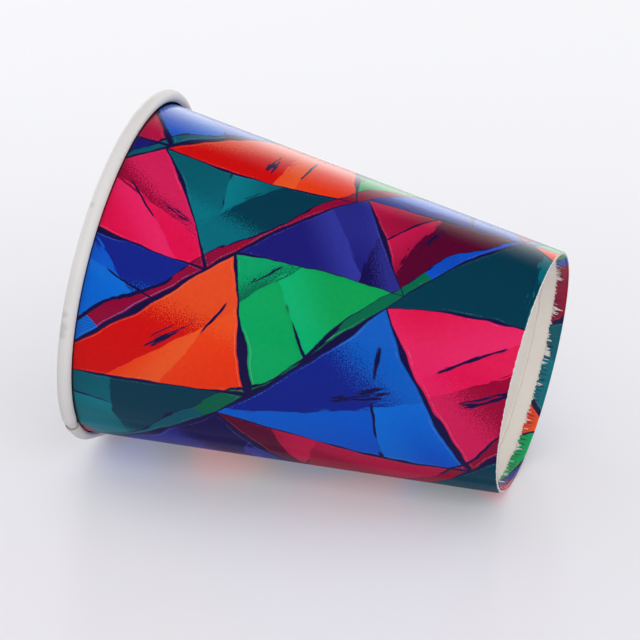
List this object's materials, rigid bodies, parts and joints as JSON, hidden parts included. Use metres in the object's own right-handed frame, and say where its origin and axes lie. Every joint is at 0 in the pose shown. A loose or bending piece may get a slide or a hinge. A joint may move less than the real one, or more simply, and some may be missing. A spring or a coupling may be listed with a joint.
{
  "type": "paper cup",
  "caption": "Tapered paper drinking cup with an outward rolled rim, a lapped side seam, and a bottom set up inside a folded base ring, printed all over with coloured facets.",
  "frame": {"origin": "centre of the base ring, in the plane that the cup stands on", "axes": "+Z from the base ring up to the rolled rim, along the cup's axis; -Y is the side that the picture shows, and the lapped seam is beside -X"},
  "size_m": [0.09, 0.09, 0.106],
  "materials": {
    "printed_board": "gloss print outside, white coated board inside and on the rolled rim",
    "plain_board": "satin coated board"
  },
  "bodies": {
    "root": {"sidewall": "printed_board", "bottom": "plain_board"}
  },
  "joints": []
}
